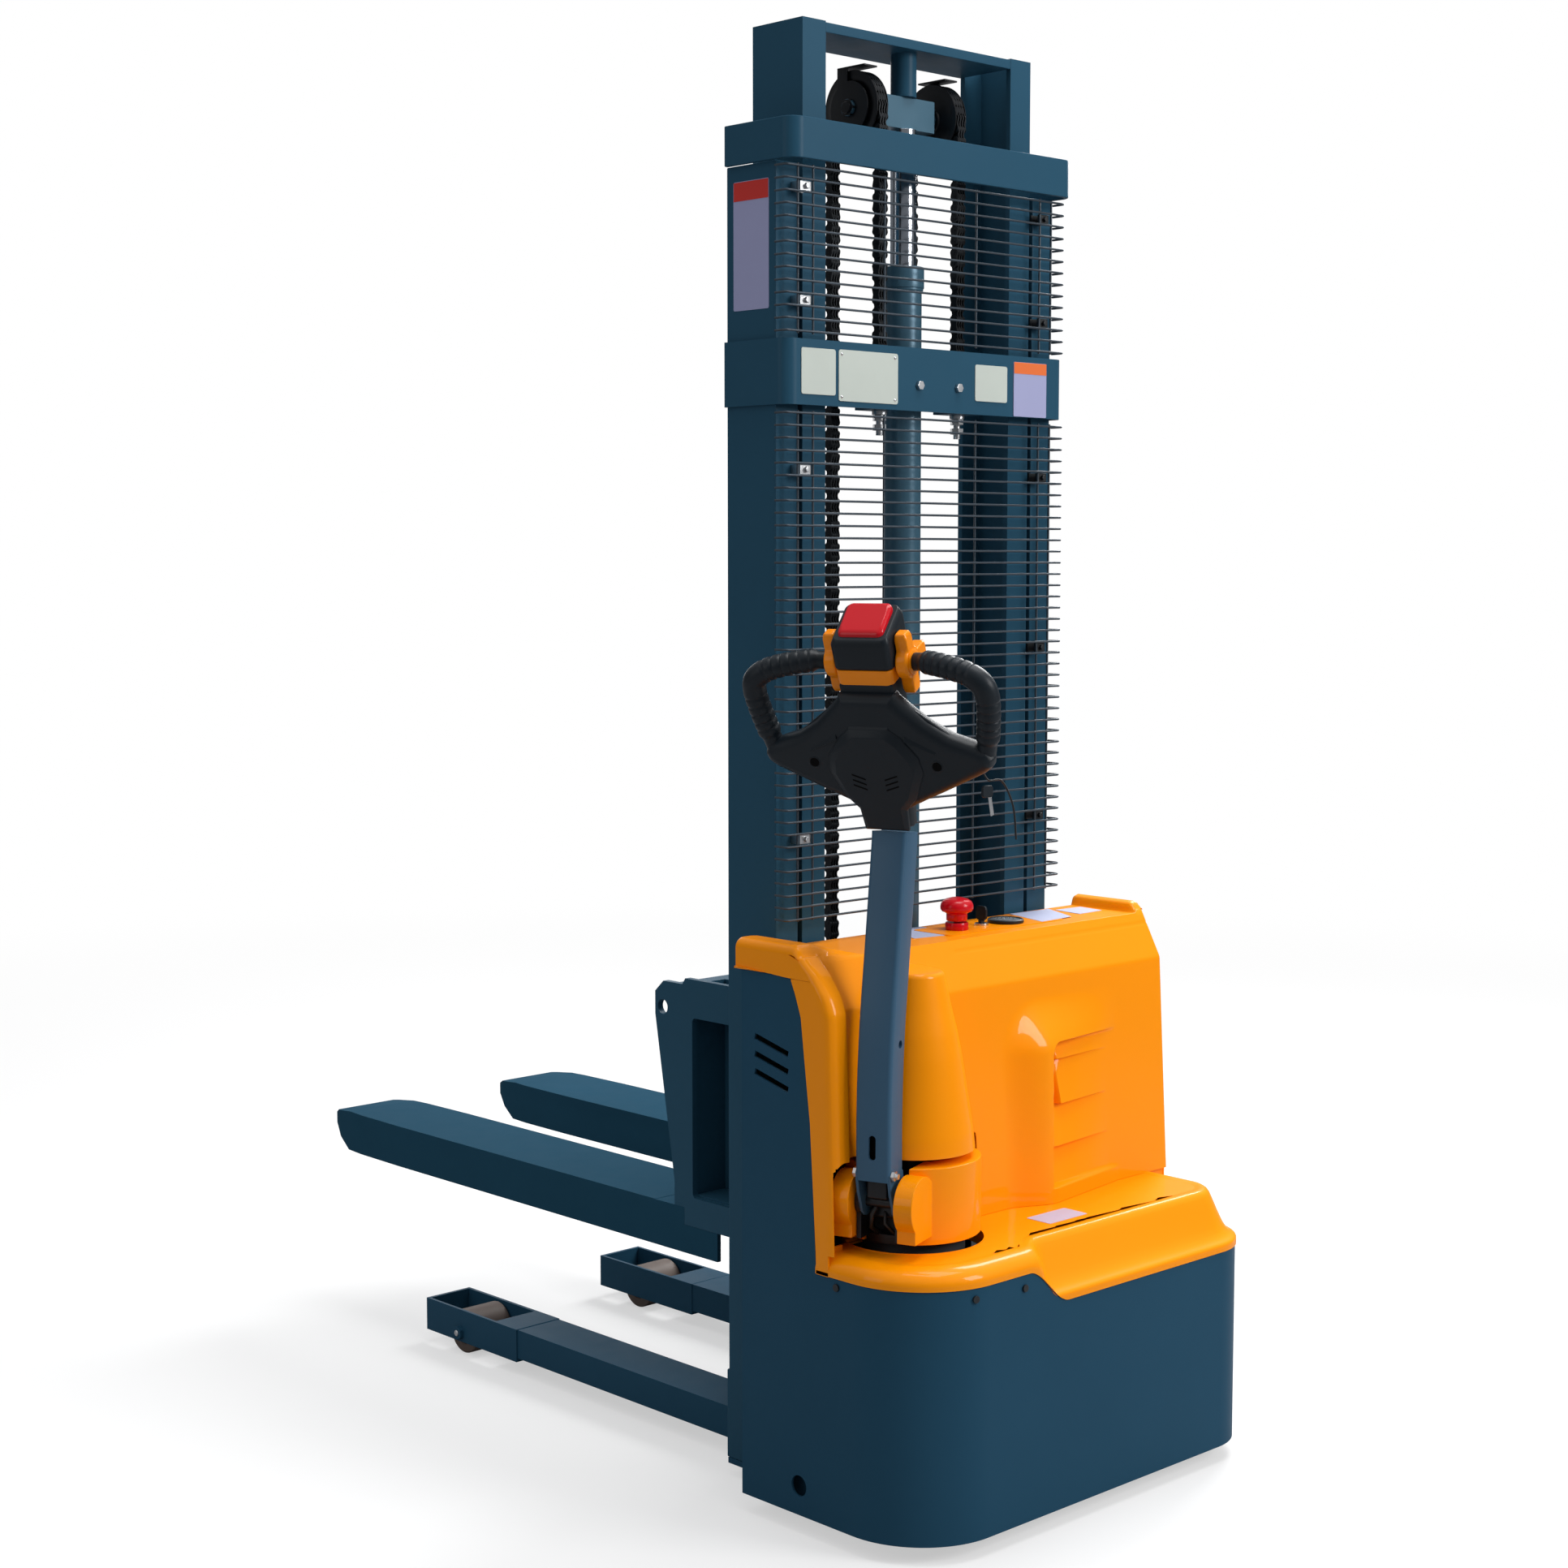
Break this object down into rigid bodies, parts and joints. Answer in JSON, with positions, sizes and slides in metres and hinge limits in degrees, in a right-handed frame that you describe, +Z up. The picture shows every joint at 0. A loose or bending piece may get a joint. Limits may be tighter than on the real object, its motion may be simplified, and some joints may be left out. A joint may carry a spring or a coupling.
{
  "type": "walkie stacker",
  "caption": "Pedestrian pallet stacker: hydraulic two-stage mast lifts forks over straddle support legs, with a steered drive wheel, tiller arm and moulded covers.",
  "frame": {"origin": "on the floor under the centre of the whole truck's box at rest", "axes": "+Z up, +Y towards the fork tips, +X to the right of a person who stands at the tiller and faces the forks"},
  "size_m": [0.9202, 1.8892, 2.417],
  "materials": {
    "frame_paint": "semi-gloss powder coat, dark blue-grey",
    "mast_paint": "semi-gloss powder coat, dark blue-grey",
    "cover_orange": "glossy moulded plastic, orange",
    "tiller_paint": "satin paint, blue-grey",
    "black_plastic": "moulded black plastic with a fine grain",
    "black_steel": "black paint",
    "guard_wire": "grey coated wire",
    "zinc": "bright zinc plate",
    "rod_chrome": "hard chrome, polished",
    "chain_steel": "oiled dark steel",
    "roller_steel": "machined steel",
    "polyurethane": "cast polyurethane, brown-grey",
    "tyre_rubber": "black rubber-like tread",
    "red_plastic": "glossy red plastic",
    "battery_case": "black battery case",
    "cast_grey": "painted casting",
    "nylon": "off-white nylon",
    "aluminium": "cast aluminium heat sink",
    "hose_rubber": "black hydraulic hose",
    "horn_orange": "orange button cap"
  },
  "bodies": {
    "chassis": {"chassis_frame": "frame_paint", "support_legs": "frame_paint", "outer_mast_rails": "mast_paint", "mast_top_beam": "mast_paint", "mast_mid_beam": "mast_paint", "mast_pads": "nylon", "lift_cylinder": "mast_paint", "chain_anchors": "zinc", "guard_upper": "guard_wire", "guard_lower": "guard_wire", "guard_clips": "zinc", "base_cover": "frame_paint", "side_panels": "frame_paint", "upper_cover": "cover_orange", "deck_cover": "cover_orange", "fasteners": "zinc", "dash_panel": "cover_orange", "stop_base": "red_plastic", "key_switch": "zinc", "charge_gauge": "black_plastic", "batteries": "battery_case", "battery_tray": "frame_paint", "pump_motor": "black_steel", "oil_tank": "black_plastic", "valve_block": "aluminium", "controller": "aluminium", "charger": "aluminium", "lift_hose": "hose_rubber", "steer_bearing": "roller_steel"},
    "inner_mast": {"inner_mast_rails": "mast_paint", "inner_mast_ties": "mast_paint", "lift_rod": "rod_chrome", "crosshead": "mast_paint", "sheave_guards": "black_steel", "lift_chain_rear": "chain_steel", "lift_chain_front": "chain_steel"},
    "sheaves": {"chain_sheaves": "chain_steel"},
    "mast_roller_low": {"mast_rollers_low": "roller_steel"},
    "mast_roller_high": {"mast_rollers_high": "roller_steel"},
    "carriage": {"carriage": "frame_paint", "forks": "frame_paint"},
    "carriage_roller_low": {"carriage_rollers_low": "roller_steel"},
    "carriage_roller_high": {"carriage_rollers_high": "roller_steel"},
    "drive_unit": {"drive_gearbox": "cast_grey", "drive_motor": "black_steel", "tiller_yoke": "black_steel", "head_shells": "cover_orange"},
    "drive_wheel": {"drive_wheel": "tyre_rubber"},
    "tiller": {"tiller_arm": "tiller_paint", "tiller_head": "black_plastic"},
    "throttle": {"throttle_butterfly": "cover_orange"},
    "belly_button": {"belly_button": "red_plastic"},
    "lift_button": {"lift_button": "black_plastic"},
    "lower_button": {"lower_button": "black_plastic"},
    "horn_button": {"horn_button": "horn_orange"},
    "stop_button": {"stop_button": "red_plastic"},
    "ignition_key": {"ignition_key": "black_plastic"},
    "castor": {"castor_fork": "zinc"},
    "castor_wheel": {"castor_wheel": "tyre_rubber"},
    "load_rollers": {"load_rollers": "polyurethane"}
  },
  "joints": [
    {"name": "mast_lift", "type": "slide", "parent": "chassis", "child": "inner_mast", "axis": [0, 0, 1], "range_m": [-0.165, 1.44], "deforming": ["lift_chain_rear", "lift_chain_front"]},
    {"name": "carriage_lift", "type": "slide", "parent": "inner_mast", "child": "carriage", "axis": [0, 0, 1], "range_m": [-0.165, 1.44]},
    {"name": "sheave_spin", "type": "hinge", "parent": "inner_mast", "child": "sheaves", "pos_m": [0.03214, -0.40642, 2.3], "axis": [1, 0, 0], "range_deg": [-169.82, 1474.32]},
    {"name": "mast_roller_low_spin", "type": "hinge", "parent": "inner_mast", "child": "mast_roller_low", "pos_m": [0.03214, -0.40692, 0.272], "axis": [1, 0, 0], "range_deg": [-197.14, 1712.74]},
    {"name": "mast_roller_high_spin", "type": "hinge", "parent": "inner_mast", "child": "mast_roller_high", "pos_m": [0.03214, -0.40692, 0.572], "axis": [1, 0, 0], "range_deg": [-1712.74, 197.14]},
    {"name": "carriage_roller_low_spin", "type": "hinge", "parent": "carriage", "child": "carriage_roller_low", "pos_m": [0.03214, -0.40642, 0.474], "axis": [1, 0, 0], "range_deg": [-195.12, 1695.17]},
    {"name": "carriage_roller_high_spin", "type": "hinge", "parent": "carriage", "child": "carriage_roller_high", "pos_m": [0.03214, -0.40642, 0.756], "axis": [1, 0, 0], "range_deg": [-1695.17, 195.12]},
    {"name": "drive_steer", "type": "hinge", "parent": "chassis", "child": "drive_unit", "pos_m": [-0.20786, -0.68542, 0.475], "axis": [0, 0, 1], "range_deg": [-5, 135]},
    {"name": "drive_spin", "type": "hinge", "parent": "drive_unit", "child": "drive_wheel", "pos_m": [-0.20786, -0.68542, 0.115], "axis": [0.342, -0.9397, 0], "continuous": true},
    {"name": "tiller_tilt", "type": "hinge", "parent": "drive_unit", "child": "tiller", "pos_m": [-0.31874, -0.72578, 0.548], "axis": [0.342, -0.9397, 0], "range_deg": [0, 92], "stiffness_Nm_per_rad": 18, "springref_deg": -28.65},
    {"name": "throttle_turn", "type": "hinge", "parent": "tiller", "child": "throttle", "pos_m": [-0.36304, -0.74191, 1.39745], "axis": [0.342, -0.9397, 0], "range_deg": [-28, 28], "stiffness_Nm_per_rad": 0.8},
    {"name": "belly_button_press", "type": "slide", "parent": "tiller", "child": "belly_button", "axis": [0.3971, 0.1445, -0.9063], "range_m": [0, 0.008], "stiffness_N_per_m": 600, "springref_m": -0.006},
    {"name": "lift_button_press", "type": "slide", "parent": "tiller", "child": "lift_button", "axis": [-0.8517, -0.31, -0.4226], "range_m": [0, 0.003], "stiffness_N_per_m": 600, "springref_m": -0.003},
    {"name": "lower_button_press", "type": "slide", "parent": "tiller", "child": "lower_button", "axis": [-0.8517, -0.31, -0.4226], "range_m": [0, 0.003], "stiffness_N_per_m": 600, "springref_m": -0.003},
    {"name": "horn_button_press", "type": "slide", "parent": "tiller", "child": "horn_button", "axis": [-0.8517, -0.31, -0.4226], "range_m": [0, 0.003], "stiffness_N_per_m": 600, "springref_m": -0.003},
    {"name": "stop_button_press", "type": "slide", "parent": "chassis", "child": "stop_button", "axis": [0, 0, -1], "range_m": [0, 0.005]},
    {"name": "key_turn", "type": "hinge", "parent": "chassis", "child": "ignition_key", "pos_m": [0.11614, -0.53742, 0.921], "axis": [0, 0, -1], "range_deg": [0, 90]},
    {"name": "castor_swivel", "type": "hinge", "parent": "chassis", "child": "castor", "pos_m": [0.31214, -0.73542, 0.17], "axis": [0, 0, 1], "continuous": true},
    {"name": "castor_spin", "type": "hinge", "parent": "castor", "child": "castor_wheel", "pos_m": [0.31214, -0.77042, 0.075], "axis": [1, 0, 0], "continuous": true},
    {"name": "load_roller_spin", "type": "hinge", "parent": "chassis", "child": "load_rollers", "pos_m": [0.03214, 0.50458, 0.043], "axis": [1, 0, 0], "continuous": true}
  ],
  "couplings": [
    {"joint": "carriage_lift", "follows": "mast_lift", "ratio": 1},
    {"joint": "sheave_spin", "follows": "mast_lift", "rad_per_m": 17.857},
    {"joint": "mast_roller_low_spin", "follows": "mast_lift", "rad_per_m": 20.747},
    {"joint": "mast_roller_high_spin", "follows": "mast_lift", "rad_per_m": -20.747},
    {"joint": "carriage_roller_low_spin", "follows": "mast_lift", "rad_per_m": 20.534},
    {"joint": "carriage_roller_high_spin", "follows": "mast_lift", "rad_per_m": -20.534}
  ]
}
